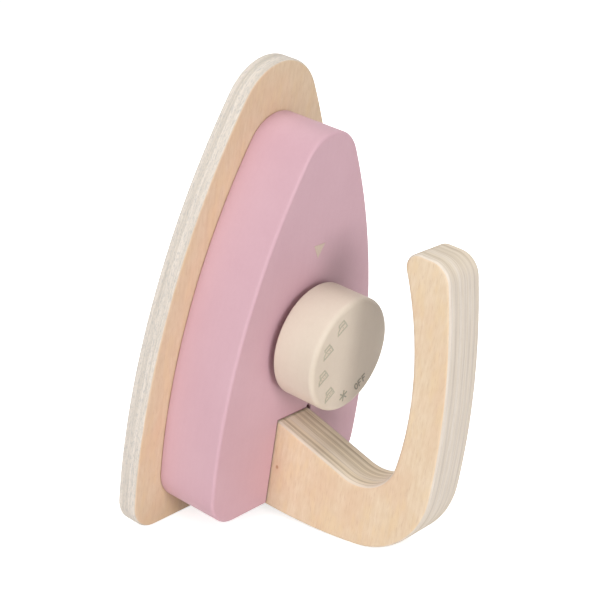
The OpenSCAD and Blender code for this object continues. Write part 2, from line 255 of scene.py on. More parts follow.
def in_scene(name: str, data: bpy.types.ID) -> bpy.types.Object:
    """Puts a mesh, a lamp or a camera into the scene.

    Args:
        name: The new object's name.
        data: The mesh, the lamp or the camera.

    Returns:
        The object, at the origin.
    """
    thing = bpy.data.objects.new(name, data)
    bpy.context.scene.collection.objects.link(thing)
    return thing


class SocketKind(Enum):
    """Kinds of named input of a Geometry Nodes tree."""

    WHOLE = "NodeSocketInt"
    LENGTH = "NodeSocketFloat"
    MATERIAL = "NodeSocketMaterial"


class GrowthTree(Tree):
    """A Geometry Nodes tree with named inputs, whose result is turned into a plain mesh."""

    def __init__(self, name: str, inputs: dict[str, SocketKind]) -> None:
        """Makes the tree with a geometry input and output and the named inputs.

        Args:
            name: The tree's name.
            inputs: The names and kinds of its inputs; "Finish", for the material, is added.
        """
        super().__init__(bpy.data.node_groups.new(name, "GeometryNodeTree"))
        face = self.nodes.interface
        face.new_socket("Geometry", in_out="OUTPUT", socket_type="NodeSocketGeometry")
        face.new_socket("Geometry", in_out="INPUT", socket_type="NodeSocketGeometry")
        self.kinds = {**inputs, "Finish": SocketKind.MATERIAL}
        self.identifiers = {
            key: face.new_socket(key, in_out="INPUT", socket_type=kind.value).identifier
            for key, kind in self.kinds.items()
        }
        self.source = self.add("NodeGroupInput")

    def given(self, name: str) -> Value:
        """One of the tree's named inputs."""
        return self.source.also(name)

    def sampled(self, value: Value, index: Value) -> Value:
        """A vector of the tree's own geometry, at one of its points."""
        values = {"Geometry": self.given("Geometry"), "Value": value, "Index": index}
        return self.add("GeometryNodeSampleIndex", {"data_type": "FLOAT_VECTOR"}, values)

    def put(self, geometry: Value, position: Value) -> Value:
        """A Set Position node."""
        return self.add("GeometryNodeSetPosition", None, {"Geometry": geometry, "Position": position})

    def flipped(self, mesh: Value) -> Value:
        """The mesh with its faces turned over."""
        return self.add("GeometryNodeFlipFaces", None, {"Mesh": mesh})

    def welded(self, mesh: Value) -> Value:
        """The mesh with points that lie together made one."""
        return self.add("GeometryNodeMergeByDistance", None, {"Geometry": mesh, "Distance": WELD * MM})

    def realized(self, geometry: Value) -> Value:
        """The geometry with its instances made real."""
        return self.add("GeometryNodeRealizeInstances", None, {"Geometry": geometry})

    def cylinder(self, sides: int, radius: Value, depth: Value, levels: int = 1) -> Value:
        """A closed cylinder, centred, with its wall cut into levels."""
        values = {"Vertices": sides, "Side Segments": levels, "Radius": radius, "Depth": depth}
        return self.add("GeometryNodeMeshCylinder", None, values, "Mesh")

    def cut_out(self, geometry: Value, cutter: Value) -> Value:
        """The closed mesh without what the cutter covers."""
        settings = {"operation": "DIFFERENCE", "solver": "EXACT"}
        return self.add("GeometryNodeMeshBoolean", settings, {"Mesh 1": geometry, "Mesh 2": cutter}, "Mesh")

    def skin(self, rings: Value, around: Value, spot: Callable[[Value, Value], Value]) -> Value:
        """A grid that is bent round, so that its last column lies on its first.

        Args:
            rings: The number of rings.
            around: The number of points in a ring.
            spot: Gives a point's place from its ring's number and its own.

        Returns:
            The skin, open at its first and last ring.
        """
        index = self.add("GeometryNodeInputIndex")
        ring = ((index + 0.5) / (around + 1)).floor()
        point = (index - ring * (around + 1)) % around
        values = {"Vertices X": rings, "Vertices Y": around + 1}
        grid = self.add("GeometryNodeMeshGrid", None, values, "Mesh")
        return self.flipped(self.put(grid, spot(ring, point)))

    def finish(self, geometry: Value) -> None:
        """Realizes, shades and dresses the geometry and makes it the tree's result.

        Args:
            geometry: The finished shape.
        """
        values = {"Geometry": self.realized(geometry), "Shade Smooth": True}
        smooth = self.add("GeometryNodeSetShadeSmooth", {"domain": "FACE"}, values)
        bend = self.add("GeometryNodeInputMeshEdgeAngle")
        values = {"Geometry": smooth, "Selection": bend > math.radians(CRISP_ANGLE), "Shade Smooth": False}
        crisp = self.add("GeometryNodeSetShadeSmooth", {"domain": "EDGE"}, values)
        values = {"Geometry": crisp, "Material": self.given("Finish")}
        dressed = self.add("GeometryNodeSetMaterial", None, values)
        self.add("NodeGroupOutput", None, {"Geometry": dressed})

    def grow(
        self, name: str, seed: bpy.types.Mesh, inputs: dict[str, Any], place: Matrix, finish: "Finish"
    ) -> bpy.types.Object:
        """Runs the tree on a mesh.

        Args:
            name: The name of the new piece.
            seed: The mesh that the tree starts from.
            inputs: Values of the named inputs, with lengths in mm.
            place: The matrix that carries the result to its place.
            finish: The finish that the tree dresses it with.

        Returns:
            An object at the origin with the result as its plain mesh.
        """
        piece = in_scene(name, seed)
        modifier = piece.modifiers.new("growth", "NODES")
        modifier.node_group = self.nodes
        for key, value in {**inputs, "Finish": finish.material()}.items():
            in_mm = self.kinds[key] is SocketKind.LENGTH
            modifier[self.identifiers[key]] = value * MM if in_mm else value
        graph = bpy.context.evaluated_depsgraph_get()
        mesh = bpy.data.meshes.new_from_object(piece.evaluated_get(graph), depsgraph=graph)
        piece.modifiers.remove(modifier)
        mesh.transform(place)
        mesh.name = name
        piece.data = mesh
        return piece


def slab_body(tree: GrowthTree) -> Value:
    """Grows a slab with rounded edges over the outline points of the tree's geometry.

    Args:
        tree: A tree with the inputs of SLAB_INPUTS, whose geometry starts with the outline's points.

    Returns:
        The closed slab, with its lower face on z = 0.
    """
    count, steps = tree.given("Outline points"), tree.given("Edge steps")
    low, high = tree.given("Lower edge radius"), tree.given("Upper edge radius")
    margin, thickness = tree.given("Margin"), tree.given("Thickness")
    # Each half of the slab has the rings of its rounded edge, and a ring at a margin on either side of them
    half = steps + 3
    outward = tree.add("GeometryNodeInputNamedAttribute", {"data_type": "FLOAT_VECTOR"}, {"Name": "outward"})
    position = tree.add("GeometryNodeInputPosition")

    def spot(ring: Value, point: Value) -> Value:
        """Place of one outline point in one ring of the slab.

        Args:
            ring: The ring's number, from the lower face to the upper one.
            point: The outline point's number.

        Returns:
            Its place.
        """
        step = ring.smaller(2 * half - 1 - ring)
        upper = ring > half - 0.5
        radius = low + (high - low) * upper
        turn = ((step - 1) / steps).clamped() * (math.pi / 2)
        inset = radius - radius * tree.maths("SINE", turn) + margin * (step < 0.5)
        rise = radius - radius * tree.maths("COSINE", turn) + margin * (step > steps + 1.5)
        height = rise + upper * (thickness - 2 * rise)
        way = tree.sampled(outward, point)
        inwards = tree.vector("MULTIPLY", way, tree.combine(inset, inset, inset))
        moved = tree.vector("SUBTRACT", tree.sampled(position, point), inwards)
        return tree.vector("ADD", moved, tree.combine(0.0, 0.0, height))

    index = tree.add("GeometryNodeInputIndex")
    side = tree.skin(2 * half, count, spot)
    disc = tree.add("GeometryNodeMeshCircle", {"fill_type": "NGON"}, {"Vertices": count}, "Mesh")
    first, last = half * 0, 2 * half - 1
    top = tree.put(disc, spot(last, index))
    under = tree.flipped(tree.put(disc, spot(first, index)))
    return tree.welded(tree.add("GeometryNodeJoinGeometry", None, {"Geometry": [side, top, under]}))


SLAB_INPUTS = {
    "Outline points": SocketKind.WHOLE,
    "Edge steps": SocketKind.WHOLE,
    "Thickness": SocketKind.LENGTH,
    "Lower edge radius": SocketKind.LENGTH,
    "Upper edge radius": SocketKind.LENGTH,
    "Margin": SocketKind.LENGTH,
}


def slab_tree(name: str) -> GrowthTree:
    """A tree for a plain slab with rounded edges.

    Args:
        name: The tree's name.

    Returns:
        The tree, with SLAB_INPUTS.
    """
    tree = GrowthTree(name, SLAB_INPUTS)
    tree.finish(slab_body(tree))
    return tree


def drilled_slab_tree(name: str) -> GrowthTree:
    """A tree for a slab with a round hole at each point that follows the outline's.

    Args:
        name: The tree's name.

    Returns:
        The tree, with SLAB_INPUTS and the size of the holes, which start at the lower face.
    """
    holes = {"Hole radius": SocketKind.LENGTH, "Hole depth": SocketKind.LENGTH}
    tree = GrowthTree(name, {**SLAB_INPUTS, **holes})
    further = tree.add("GeometryNodeInputIndex") > tree.given("Outline points") - 0.5
    values = {"Mesh": tree.given("Geometry"), "Selection": further}
    spots = tree.add("GeometryNodeMeshToPoints", None, values)
    drill = tree.cylinder(PLUG_SIDES, tree.given("Hole radius"), tree.given("Hole depth") * 2)
    drills = tree.add("GeometryNodeInstanceOnPoints", None, {"Points": spots, "Instance": drill})
    tree.finish(tree.cut_out(slab_body(tree), tree.realized(drills)))
    return tree


def block_tree(name: str) -> GrowthTree:
    """A tree for the painted block: a slab with the handle's slot, the saw's starting hole and the bore.

    Args:
        name: The tree's name.

    Returns:
        The tree, with SLAB_INPUTS and the places and sizes of the cuts.
    """
    cuts = ("Slot width", "Slot end", "Start radius", "Start inset")
    turned = ("Bore place", "Bore radius", "Recess radius", "Recess depth")
    tree = GrowthTree(name, {**SLAB_INPUTS, **{key: SocketKind.LENGTH for key in (*cuts, *turned)}})
    width, end, over = tree.given("Slot width"), tree.given("Slot end"), 5 * MM
    depth = tree.given("Thickness") + 2 * over
    middle, start = tree.given("Thickness") * 0.5, tree.given("Start radius")
    bore_y = tree.given("Bore place")
    box = tree.add("GeometryNodeMeshCube", None, {"Size": tree.combine(width, end + over, depth)}, "Mesh")
    saw = tree.cylinder(START_SIDES, start, depth)
    bore = tree.cylinder(BORE_SIDES, tree.given("Bore radius"), depth)
    recess = tree.cylinder(BORE_SIDES, tree.given("Recess radius"), tree.given("Recess depth") * 2)
    cutters = (
        (box, 0.0, (end - over) * 0.5, middle),
        (saw, width * 0.5 - tree.given("Start inset"), end + start * 0.6, middle),
        (bore, 0.0, bore_y, middle),
        (recess, 0.0, bore_y, 0.0),
    )
    shape = slab_body(tree)
    for cutter, *place in cutters:
        values = {"Geometry": cutter, "Translation": tree.combine(*place)}
        shape = tree.cut_out(shape, tree.add("GeometryNodeTransform", None, values))
    tree.finish(shape)
    return tree


def turned_tree(name: str) -> GrowthTree:
    """A tree for a turned piece, whose geometry is its half section, point by point.

    Args:
        name: The tree's name.

    Returns:
        The tree, with the number of section points and of sides as inputs.
    """
    tree = GrowthTree(name, {"Section points": SocketKind.WHOLE, "Sides": SocketKind.WHOLE})
    sides, position = tree.given("Sides"), tree.add("GeometryNodeInputPosition")

    def spot(row: Value, side: Value) -> Value:
        """Place of one section point at one of the sides.

        Args:
            row: The section point's number.
            side: The side's number.

        Returns:
            Its place.
        """
        turn = side * (2 * math.pi) / sides
        radius, _, height = tree.parts(tree.sampled(position, row))
        return tree.combine(radius * tree.maths("COSINE", turn), radius * tree.maths("SINE", turn), height)

    tree.finish(tree.welded(tree.skin(tree.given("Section points"), sides, spot)))
    return tree


def studded_tree(name: str) -> GrowthTree:
    """A tree that sets a round plug with a softened lower face at each point.

    Args:
        name: The tree's name.

    Returns:
        The tree, with the plug's radius and height as inputs.
    """
    tree = GrowthTree(name, {"Plug radius": SocketKind.LENGTH, "Plug height": SocketKind.LENGTH})
    radius, height, softening = tree.given("Plug radius"), tree.given("Plug height"), 0.04
    x, y, z = tree.parts(tree.add("GeometryNodeInputPosition"))
    lowest, between = z < height * -0.25, abs(z) < height * 0.25
    taper = 1.0 - lowest * softening
    rise = height * 0.5 + between * (radius * softening - height * 0.5)
    trunk = tree.cylinder(PLUG_SIDES, radius, height, levels=2)
    plug = tree.put(trunk, tree.combine(x * taper, y * taper, z + rise))
    spots = tree.add("GeometryNodeMeshToPoints", None, {"Mesh": tree.given("Geometry")})
    tree.finish(tree.add("GeometryNodeInstanceOnPoints", None, {"Points": spots, "Instance": plug}))
    return tree


# Outlines


def direction(degrees: float) -> Spot:
    """The unit vector at an angle."""
    return (math.cos(math.radians(degrees)), math.sin(math.radians(degrees)))


def angle_of(start: Spot, end: Spot) -> float:
    """The angle of the way from start to end, in degrees."""
    return math.degrees(math.atan2(end[1] - start[1], end[0] - start[0]))


def arc(centre: Spot, radius: float, start: float, end: float, steps: int, hollow: bool = False) -> Rim:
    """Points of an arc with their outward directions.

    Args:
        centre: The arc's centre.
        radius: Its radius.
        start: Its first angle, in degrees.
        end: Its last angle, in degrees.
        steps: Its number of steps.
        hollow: True where the piece lies outside the circle.

    Returns:
        Pairs of a point and the direction that leads out of the piece.
    """
    sign = -1.0 if hollow else 1.0
    rim = []
    for i in range(steps + 1):
        dx, dy = direction(start + (end - start) * i / steps)
        rim.append(((centre[0] + radius * dx, centre[1] + radius * dy), (sign * dx, sign * dy)))
    return rim


def joined_rim(*arcs: Rim) -> Rim:
    """One closed outline of several arcs, each without the point that it shares with the one before.

    Args:
        arcs: Arcs in their order along the outline.

    Returns:
        The points of the outline, each with its outward direction.
    """
    rim: Rim = []
    for spot, way in [pair for one in arcs for pair in one]:
        if not rim or math.dist(rim[-1][0], spot) > SAME_SPOT:
            rim.append((spot, way))
    return rim[:-1] if math.dist(rim[0][0], rim[-1][0]) < SAME_SPOT else rim


@dataclass(frozen=True)
class IronShape:
    """The outline of an iron's sole: a straight heel, two round corners, two long arcs and a nose, in mm."""

    length: float
    width: float
    widest: float
    nose_r: float
    heel_r: float

    def rim(self) -> Rim:
        """The outline, from the right heel corner round the nose to the left one.

        Returns:
            The points of the outline, each with its outward direction.
        """
        rise = self.length - self.nose_r - self.widest
        side_r = (self.width**2 / 4 + rise**2 - self.nose_r**2) / (self.width - 2 * self.nose_r)
        side_x = self.width / 2 - side_r
        heel_x = side_x + math.sqrt((side_r - self.heel_r) ** 2 - (self.widest - self.heel_r) ** 2)
        low = math.degrees(math.atan2(self.heel_r - self.widest, heel_x - side_x))
        high = math.degrees(math.atan2(rise, -side_x))
        return joined_rim(
            arc((heel_x, self.heel_r), self.heel_r, -90, low, 24),
            arc((side_x, self.widest), side_r, low, high, 72),
            arc((0.0, self.length - self.nose_r), self.nose_r, high, 180 - high, 48),
            arc((-side_x, self.widest), side_r, 180 - high, 180 - low, 72),
            arc((-heel_x, self.heel_r), self.heel_r, 180 - low, 270, 24),
        )


@dataclass(frozen=True)
class HookShape:
    """The hook handle's outline, as distances from the plate's heel and heights above the sole, in mm."""

    step: float = 8.2
    root_w: float = 34.6
    root_slope: float = 15.0
    finger_bend_r: float = 16.0
    hollow_r: float = 125.0
    under_h: float = 85.0
    under_y: float = 66.5
    back_h: float = 99.5
    back_y: float = 52.5
    back_r: float = 280.0
    back_bend_r: float = 32.0
    sweep_r: float = 206.0
    sweep_h: float = 37.0
    tip_y: float = 124.0
    tip_back_r: float = 8.5
    tip_under_r: float = 5.0
    ease_r: float = 4.0
    corner_r: float = 2.6
    base_h: float = 8.0
    leave_h: float = 33.0

    def centres(self) -> dict[str, Spot]:
        """Centres of the arcs that the outline is made of.

        Returns:
            The centres by name, in mm from the heel and above the sole.
        """
        root_y = self.step + self.root_w
        sweep = (self.step + self.sweep_r, self.sweep_h)
        back = (self.back_y, self.back_h - self.back_r)
        hollow = (self.under_y, self.under_h - self.hollow_r)
        ease = (root_y - self.ease_r, self.leave_h)
        slope = direction(self.root_slope)
        reach = self.ease_r + self.finger_bend_r
        start = (ease[0] + reach * slope[0], ease[1] + reach * slope[1])
        way = (-slope[1], slope[0])
        gap = (start[0] - hollow[0], start[1] - hollow[1])
        along = gap[0] * way[0] + gap[1] * way[1]
        run = math.sqrt(along**2 - math.hypot(*gap) ** 2 + (self.hollow_r - self.finger_bend_r) ** 2) - along
        return {
            "root": (root_y - self.corner_r, self.base_h + self.corner_r),
            "heel": (self.step + self.corner_r, self.base_h + self.corner_r),
            "ease": ease,
            "sweep": sweep,
            "back": back,
            "hollow": hollow,
            "finger_bend": (start[0] + run * way[0], start[1] + run * way[1]),
            "back_bend": self._meet(
                back, self.back_r - self.back_bend_r, sweep, self.sweep_r - self.back_bend_r
            ),
            "tip_back": self._above(back, self.back_r - self.tip_back_r, self.tip_y - self.tip_back_r),
            "tip_under": self._above(hollow, self.hollow_r + self.tip_under_r, self.tip_y - self.tip_under_r),
        }

    @staticmethod
    def _meet(c1: Spot, r1: float, c2: Spot, r2: float) -> Spot:
        """The meeting point of two circles to the left of the way from the first to the second.

        Args:
            c1: The first circle's centre.
            r1: Its radius.
            c2: The second circle's centre.
            r2: Its radius.

        Returns:
            The meeting point.
        """
        gap = math.dist(c1, c2)
        ex, ey = (c2[0] - c1[0]) / gap, (c2[1] - c1[1]) / gap
        along = (r1**2 - r2**2 + gap**2) / (2 * gap)
        off = math.sqrt(r1**2 - along**2)
        return (c1[0] + along * ex - off * ey, c1[1] + along * ey + off * ex)

    @staticmethod
    def _above(centre: Spot, radius: float, y: float) -> Spot:
        """The point at y on the upper half of a circle."""
        return (y, centre[1] + math.sqrt(radius**2 - (y - centre[0]) ** 2))

    def rim(self) -> Rim:
        """The outline, from the root up the finger side to the free end and back along the outer side.

        Returns:
            The points of the outline, each with its outward direction.
        """
        c = self.centres()
        hollow_start = angle_of(c["hollow"], c["finger_bend"])
        hollow_end = angle_of(c["hollow"], c["tip_under"])
        back_start = angle_of(c["back"], c["tip_back"])
        back_end = angle_of(c["back"], c["back_bend"])
        sweep_end = angle_of(c["sweep"], c["back_bend"])
        return joined_rim(
            arc(c["root"], self.corner_r, 270, 360, 8),
            arc(c["ease"], self.ease_r, 0, self.root_slope, 6),
            arc(c["finger_bend"], self.finger_bend_r, 180 + self.root_slope, hollow_start, 40, hollow=True),
            arc(c["hollow"], self.hollow_r, hollow_start, hollow_end, 36, hollow=True),
            arc(c["tip_under"], self.tip_under_r, hollow_end + 180, 360, 20),
            arc(c["tip_back"], self.tip_back_r, 0, back_start, 24),
            arc(c["back"], self.back_r, back_start, back_end, 32),
            arc(c["back_bend"], self.back_bend_r, back_end, sweep_end, 40),
            arc(c["sweep"], self.sweep_r, sweep_end, 180, 20),
            arc(c["heel"], self.corner_r, 180, 270, 8),
        )


# Places in the frame


@dataclass(frozen=True)
class Standing:
    """How the sole's own axes lie in the frame: x across, y from heel to nose, z up from the sole, in mm."""

    lean: float = 9.75791
    middle: float = 55.5977
    lift: float = 1.16986

    def matrix(self) -> Matrix:
        """The matrix from the sole's axes to the frame.

        Returns:
            The matrix, in metres.
        """
        s, c = math.sin(math.radians(self.lean)), math.cos(math.radians(self.lean))
        across, up = (0, s, c, -self.middle * MM), (0, c, -s, self.lift * MM)
        return Matrix((across, (1, 0, 0, 0), up, (0, 0, 0, 1)))

    def at(self, x: float, y: float, z: float) -> Matrix:
        """The matrix that carries a piece to a place along the sole's axes, in mm."""
        return self.matrix() @ Matrix.Translation(Vector((x, y, z)) * MM)

    def axis(self, number: int) -> Vector:
        """One of the sole's axes, as a direction in the frame."""
        return self.matrix().to_3x3().col[number]


STANDING = Standing()


@dataclass(frozen=True)
class WoodSpace:
    """Coordinates that follow the sole's axes, in mm, and how a surface faces them."""

    tree: Tree

    def coordinates(self) -> Value:
        """Object coordinates, carried into the sole's axes.

        Returns:
            The coordinates, in mm.
        """
        place = STANDING.matrix()
        values = {
            "Vector": self.tree.add("ShaderNodeTexCoord", None, None, "Object"),
            "Location": place.to_translation(),
            "Rotation": place.to_euler("XYZ"),
            "Scale": (MM, MM, MM),
        }
        return self.tree.add("ShaderNodeMapping", {"vector_type": "TEXTURE"}, values)

    def split(self) -> Place:
        """The three coordinates as numbers."""
        return self.tree.parts(self.coordinates())

    def facing(self, number: int) -> Value:
        """How far the surface faces along an axis of the sole, from 0 to 1."""
        normal = self.tree.add("ShaderNodeTexCoord", None, None, "Normal")
        return abs(self.tree.vector("DOT_PRODUCT", normal, STANDING.axis(number), output="Value"))


@dataclass(frozen=True)
class Grain:
    """A layer of smooth noise between 0 and 1, with a scale of its own along one of the sole's axes.

    Both scales are per mm. The cut names the two levels between which the layer rises from 0 to 1.
    """

    along: float
    across: float
    detail: float = 3.0
    cut: Optional[Spot] = None
    shift: float = 0.0

    def seen(self, tree: Tree, place: Place, axis: int = 1) -> Value:
        """The layer at a place.

        Args:
            tree: The material's tree.
            place: Coordinates along the sole's axes, in mm.
            axis: The axis of the first scale, which is the sole's length unless another is named.

        Returns:
            The layer.
        """
        scales = [self.across] * 3
        scales[axis] = self.along
        x, y, z = (number * scale for number, scale in zip(place, scales))
        layer = tree.noise(tree.combine(x, y, z + self.shift), 1.0, self.detail)
        return layer.smooth(*self.cut) if self.cut else layer


def shade(middle: float, *layers: tuple[Value, float]) -> Value:
    """A share between 0 and 1 that several layers move up and down.

    Args:
        middle: The share where every layer is at one half.
        layers: Layers between 0 and 1, each with its weight.

    Returns:
        The share.
    """
    share: Number = middle
    for layer, weight in layers:
        share = share + (layer - 0.5) * weight
    return share.clamped()


# Finishes


@dataclass(frozen=True)
class Finish:
    """A finish: a Principled shader whose varying inputs come from the finish's own nodes."""

    name: str

    def material(self) -> bpy.types.Material:
        """The finish as a material, made once.

        Returns:
            The material of this name.
        """
        made = bpy.data.materials.get(self.name)
        if made is None:
            made = bpy.data.materials.new(self.name)
            tree = emptied_tree(made)
            shader = tree.add("ShaderNodeBsdfPrincipled", None, self.inputs(tree))
            tree.add("ShaderNodeOutputMaterial", None, {"Surface": shader})
        return made

    def inputs(self, tree: Tree) -> dict[str, Any]:
        """Values and links of the shader's inputs."""
        raise NotImplementedError

    @staticmethod
    def bump(tree: Tree, height: Value, depth_mm: float, strength: float) -> Value:
        """A Bump node for a height between 0 and 1."""
        values = {"Height": height, "Distance": depth_mm * MM, "Strength": strength}
        return tree.add("ShaderNodeBump", None, values)


def srgb(red: int, green: int, blue: int) -> Colour:
    """A colour given in the eight-bit steps of a screen."""
    parts = (part / 255 for part in (red, green, blue))
    return tuple(p / 12.92 if p <= 0.04045 else ((p + 0.055) / 1.055) ** 2.4 for p in parts)


class Across(Enum):
    """The sole's axis that a plywood panel's plies are stacked along."""

    SIDEWAYS = 0
    UPWARDS = 2


@dataclass(frozen=True)
class Knot:
    """A small knot in a face veneer: its place along the grain and across it, and its half sizes, in mm.

    Its core and the blush round it fade between two distances, as multiples of its half sizes.
    """

    along: float
    across: float
    length: float
    width: float
    core: Spot = (0.4, 1.2)
    core_share: float = 0.85
    blush: Spot = (1.0, 4.5)
    blush_share: float = 0.3
    ragged: float = 0.5

    def reach(self, tree: Tree, along: Value, across: Value) -> Value:
        """The distance from the knot's middle, as a multiple of its half sizes."""
        off = tree.combine((along - self.along) / self.length, (across - self.across) / self.width, 0.0)
        return tree.vector("LENGTH", off, output="Value")


@dataclass(frozen=True)
class BirchPly(Finish):
    """Birch plywood: a warm face veneer with flecks, and edges that show every ply and its glue.

    Lengths are in mm. A share says how strongly a layer shows, and a pair of levels where it sets in.
    Past a given distance from the heel the end grain and its glue lines pale: near the handle's root they
    show fully, partly as the wood's own end grain and partly as painted shade of the root in its recess.
    """

    across: Across = Across.UPWARDS
    near_face: float = 0.0
    thickness: float = 8.0
    plies: int = 7
    face: Colour = srgb(237, 216, 189)
    face_deep: Colour = srgb(223, 196, 162)
    face_blush: Colour = srgb(230, 194, 163)
    face_gold: Colour = srgb(238, 212, 172)
    edge: Colour = srgb(229, 221, 212)
    edge_deep: Colour = srgb(206, 196, 184)
    pale_line: Colour = srgb(243, 238, 230)
    end_grain: Colour = srgb(247, 230, 199)
    glue: Colour = srgb(150, 126, 92)
    fleck: Colour = srgb(184, 180, 176)
    pith: Colour = srgb(170, 108, 66)
    long_end: float = 0.8
    cross_end: float = 0.12
    band_share: float = 1.0
    fleck_share: float = 0.0
    # Where the end grain starts to pale, from the heel, over what run and by how much; the fuller, browner
    # end grain before it is partly painted shade of the handle's root
    root_grain_and_shade_end: float = 1000.0
    root_grain_and_shade_fade: float = 25.0
    root_grain_and_shade_share: float = 0.45
    end_falloff: float = 1.6
    waver_by: float = 0.8
    skin: float = 0.02
    ply_seed: float = 3.7
    line_seed: float = 0.4
    line_from: Spot = (0.34, 0.5)
    dark_from: float = 0.52
    dark_gain: float = 1.5
    edge_dash: float = 0.55
    face_on: Spot = (0.74, 0.9)
    patch: Spot = (0.48, 0.7)
    blush_share: float = 0.35
    gold_share: float = 0.45
    dash_share: float = 0.12
    knots: tuple[Knot, ...] = ()
    fine: Grain = Grain(0.2, 4.0, 2.0)
    streak: Grain = Grain(0.06, 0.9)
    cloud: Grain = Grain(0.04, 0.06)
    flame: Grain = Grain(0.09, 0.3, shift=7.0)
    mottle: Grain = Grain(0.3, 0.7, 2.0)
    dash: Grain = Grain(0.3, 2.6, 1.0, (0.6, 0.72))
    waver: Grain = Grain(0.025, 0.025, 2.0)
    pores: Grain = Grain(1.8, 1.8, 4.0)
    layers: Grain = Grain(1.9, 0.05, 4.0)
    dashes: Grain = Grain(4.5, 0.3, 1.0, (0.56, 0.74))
    flecks: Grain = Grain(2.4, 0.5, 2.0, (0.5, 0.66))
    specks: Grain = Grain(2.6, 1.3, 1.0, (0.5, 0.7))

    def inputs(self, tree: Tree) -> dict[str, Any]:
        """Face veneer, ply edges, and the small relief of both.

        Args:
            tree: The material's tree.

        Returns:
            Values and links of the shader's inputs.
        """
        space = WoodSpace(tree)
        place = space.split()
        x, y, z = place
        through, sideways = (z, x) if self.across is Across.UPWARDS else (x, z)
        through = through - self.near_face
        fine, streak = self.fine.seen(tree, place), self.streak.seen(tree, place)
        flat = space.facing(self.across.value).smooth(*self.face_on)
        face, face_relief = self.veneer(tree, place, streak, fine)
        for knot in self.knots:
            reach = knot.reach(tree, y, sideways) + (fine - 0.5) * knot.ragged
            near = through < self.thickness * 0.5
            face = tree.blend((1.0 - reach.smooth(*knot.core)) * near * knot.core_share, face, self.pith)
            blush = (1.0 - reach.smooth(*knot.blush)) * near * knot.blush_share
            face = tree.blend(blush, face, self.face_blush)
        edge, edge_relief = self.plies_seen(tree, space, place, through)
        return {
            "Base Color": tree.blend(flat, edge, face),
            "Roughness": 0.66 - 0.12 * streak,
            "Normal": self.bump(tree, edge_relief + (face_relief - edge_relief) * flat, 0.05, 0.6),
            "Specular IOR Level": 0.3,
        }

    def veneer(self, tree: Tree, place: Place, streak: Value, fine: Value) -> tuple[Value, Value]:
        """The face veneer.

        Args:
            tree: The material's tree.
            place: Coordinates along the sole's axes, in mm.
            streak: Long soft streaks along the grain.
            fine: Fine lines along the grain.

        Returns:
            Its colour and its relief.
        """
        cloud, flame = self.cloud.seen(tree, place), self.flame.seen(tree, place)
        mottle, dash = self.mottle.seen(tree, place), self.dash.seen(tree, place)
        tint = shade(0.42, (streak, 0.9), (fine, 1.0), (cloud, 0.7), (flame, 0.8), (mottle, 0.9))
        face = tree.blend(tint, self.face, self.face_deep)
        face = tree.blend(cloud.smooth(*self.patch) * self.blush_share, face, self.face_blush)
        face = tree.blend(flame.smooth(*self.patch) * self.gold_share, face, self.face_gold)
        face = tree.blend(dash * self.dash_share, face, self.pith)
        return face, streak * 0.6 + fine * 0.4 - dash * 0.3

    @staticmethod
    def chance(tree: Tree, number: Value, seed: float) -> Value:
        """A fixed random number between 0 and 1 for each whole number."""
        return tree.add("ShaderNodeTexWhiteNoise", {"noise_dimensions": "1D"}, {"W": number + seed}, "Value")

    def plies_seen(self, tree: Tree, space: WoodSpace, place: Place, through: Value) -> tuple[Value, Value]:
        """The plies that a sawn edge shows: side grain and end grain in turn.

        Args:
            tree: The material's tree.
            space: The wood's coordinates.
            place: Coordinates along the sole's axes, in mm.
            through: Distance from the panel's near face, in mm.

        Returns:
            The edge's colour and its relief.
        """
        stacked = self.across.value
        wavering = through + (self.waver.seen(tree, place) - 0.5) * self.waver_by
        depth = wavering.larger(self.skin).smaller(self.thickness - self.skin) / (self.thickness / self.plies)
        ply = depth.floor()
        inside = depth - ply
        odd = ply % 2.0
        # Painted shade, in part: end grain and glue lines stay full near the handle's root and pale further
        # from the heel
        past_root_grain_and_shade = (place[1] - self.root_grain_and_shade_end).smooth(0.0, self.root_grain_and_shade_fade) * self.root_grain_and_shade_share
        ends = space.facing(1) ** self.end_falloff * (1.0 - past_root_grain_and_shade)
        cross = space.facing(2 - stacked) ** self.end_falloff
        tone = self.chance(tree, ply, self.ply_seed)
        line_tone = self.chance(tree, (depth + 0.5).floor(), self.line_seed)
        pores = self.pores.seen(tree, place)
        layers = self.layers.seen(tree, place, stacked)
        dashes = self.dashes.seen(tree, place, stacked)
        edge = tree.blend(shade(0.4, (tone, 0.5), (pores, 0.4), (layers, 2.0)), self.edge, self.edge_deep)
        edge = tree.blend(dashes * self.edge_dash * (1.0 - ends), edge, self.edge_deep)
        soft = inside.smooth(0.0, 0.35) * (1.0 - inside.smooth(0.65, 1.0))
        inner = depth.smooth(0.6, 1.4) * (1.0 - depth.smooth(self.plies - 1.2, self.plies - 0.4))
        end = odd * cross * self.cross_end + ends * self.long_end * (0.5 + 0.5 * tone) * (0.5 + 0.5 * inner)
        edge = tree.blend((end + (pores - 0.5) * 0.5 * end).clamped(), edge, self.end_grain)
        between = (depth > 0.5) * (depth < self.plies - 0.5)
        border = abs(inside - 0.5).smooth(*self.line_from) * between
        strength = border * line_tone * line_tone
        edge = tree.blend(strength * (0.4 + 0.9 * layers) * (1.0 - ends), edge, self.pale_line)
        dark = (layers - self.dark_from).larger(0.0) * self.dark_gain
        band = (1.0 - odd) * soft * tone * tone * 0.5 + dark
        lines = (strength * 0.85 + band * inner).smaller(0.9) * ends
        edge = tree.blend(lines * self.band_share, edge, self.glue)
        if self.fleck_share:
            flecks = self.flecks.seen(tree, place, stacked)
            specks = self.specks.seen(tree, place, stacked)
            edge = tree.blend((flecks * 0.6 + specks * 0.4) * self.fleck_share, edge, self.fleck)
        return edge, pores * 0.6 + odd * 0.4


